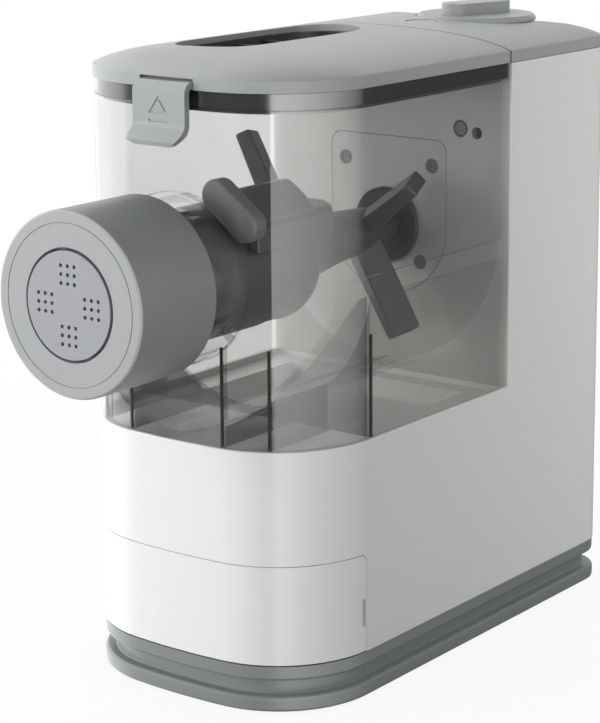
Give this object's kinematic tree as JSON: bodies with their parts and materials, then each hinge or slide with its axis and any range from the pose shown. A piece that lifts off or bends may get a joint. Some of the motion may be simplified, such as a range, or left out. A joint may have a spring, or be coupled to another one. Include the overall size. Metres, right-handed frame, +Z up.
{
  "type": "electric pasta maker",
  "caption": "Compact electric pasta maker with a clear mixing chamber, lid with a pouring slot, front extrusion head, storage drawer and control knob.",
  "frame": {"origin": "on the table under the middle of the machine's bounding box", "axes": "+Z up, front with the extrusion head towards -Y, +X to the right seen from the front"},
  "size_m": [0.135, 0.3122, 0.2844],
  "materials": {
    "gloss_white": "glossy moulded plastic",
    "satin_grey": "satin moulded plastic",
    "base_grey": "satin moulded plastic",
    "dark_seal": "soft rubber",
    "cap_grey": "fine texture",
    "disc_grey": "smooth moulded plastic",
    "paddle_grey": "semi-gloss plastic",
    "tube_grey": "semi-gloss plastic",
    "smoky_clear": "clear, slightly smoky plastic",
    "steel": "plain steel",
    "gear_white": "natural nylon",
    "bronze": "sintered bronze and copper windings",
    "board_green": "coated circuit board",
    "black": "black plastic",
    "foot_rubber": "soft rubber"
  },
  "bodies": {
    "machine": {"base": "base_grey", "rubber_foot_1": "foot_rubber", "rubber_foot_2": "foot_rubber", "rubber_foot_3": "foot_rubber", "rubber_foot_4": "foot_rubber", "base_screw_1": "steel", "base_screw_2": "steel", "base_screw_3": "steel", "base_screw_4": "steel", "main_housing": "gloss_white", "drawer_liner": "black", "mixing_chamber": "smoky_clear", "tower_cover": "satin_grey", "control_board": "board_green", "selector_switch": "black", "start_switch": "black", "lid_switch": "black", "cord_gland": "black", "drive_cover": "gloss_white", "drive_cover_screw_1": "steel", "drive_cover_screw_2": "steel", "drive_cover_screw_3": "steel", "drive_cover_screw_4": "steel", "gear_plate": "black", "gear_case": "black", "shaping_disc": "disc_grey", "extruding_tube": "tube_grey", "shaft_seal": "dark_seal", "output_bearing_front": "bronze", "output_bearing_rear": "bronze", "idler_bearing_front": "bronze", "idler_bearing_rear": "bronze", "motor_frame": "steel", "motor_stator": "bronze", "motor_end_plate": "steel"},
    "lid_body": {"lid": "satin_grey", "lid_seal": "dark_seal", "inlet_grille": "dark_seal", "latch_pin": "steel"},
    "latch_body": {"lid_latch": "satin_grey"},
    "drawer_body": {"storage_drawer": "gloss_white"},
    "cap_body": {"locking_cap": "cap_grey"},
    "knob_body": {"control_knob": "satin_grey"},
    "button_body": {"start_button": "satin_grey"},
    "drive_body": {"kneading_paddle": "paddle_grey", "extrusion_screw": "paddle_grey", "output_shaft": "steel", "output_gear": "gear_white"},
    "idler_body": {"idler_pinion": "steel", "idler_gear": "gear_white"},
    "motor_body": {"motor_rotor": "steel", "motor_pinion": "steel", "motor_fan": "black"}
  },
  "joints": [
    {"name": "lid_lift", "type": "slide", "parent": "machine", "child": "lid_body", "axis": [0, 0, 1], "range_m": [0, 0.07]},
    {"name": "latch_swing", "type": "hinge", "parent": "lid_body", "child": "latch_body", "pos_m": [0, -0.0905, 0.266], "axis": [-1, 0, 0], "range_deg": [0, 20]},
    {"name": "drawer_pull", "type": "slide", "parent": "machine", "child": "drawer_body", "axis": [0, -1, 0], "range_m": [0, 0.09]},
    {"name": "cap_turn", "type": "hinge", "parent": "machine", "child": "cap_body", "pos_m": [0, -0.13, 0.184], "axis": [0, -1, 0], "range_deg": [0, 60]},
    {"name": "knob_turn", "type": "hinge", "parent": "machine", "child": "knob_body", "pos_m": [0.0115, 0.1206, 0.276], "axis": [0, 0, 1], "range_deg": [-60, 60]},
    {"name": "button_press", "type": "slide", "parent": "machine", "child": "button_body", "axis": [0, 0, -1], "range_m": [0, 0.0015], "stiffness_N_per_m": 300},
    {"name": "drive_spin", "type": "hinge", "parent": "machine", "child": "drive_body", "pos_m": [0, 0.08, 0.184], "axis": [0, 1, 0], "continuous": true},
    {"name": "idler_spin", "type": "hinge", "parent": "machine", "child": "idler_body", "pos_m": [0, 0.08, 0.129], "axis": [0, 1, 0], "continuous": true},
    {"name": "motor_spin", "type": "hinge", "parent": "machine", "child": "motor_body", "pos_m": [0, 0.12, 0.081], "axis": [0, 1, 0], "continuous": true}
  ],
  "couplings": [
    {"joint": "idler_spin", "follows": "drive_spin", "ratio": -3.4},
    {"joint": "motor_spin", "follows": "drive_spin", "ratio": 12.92}
  ]
}
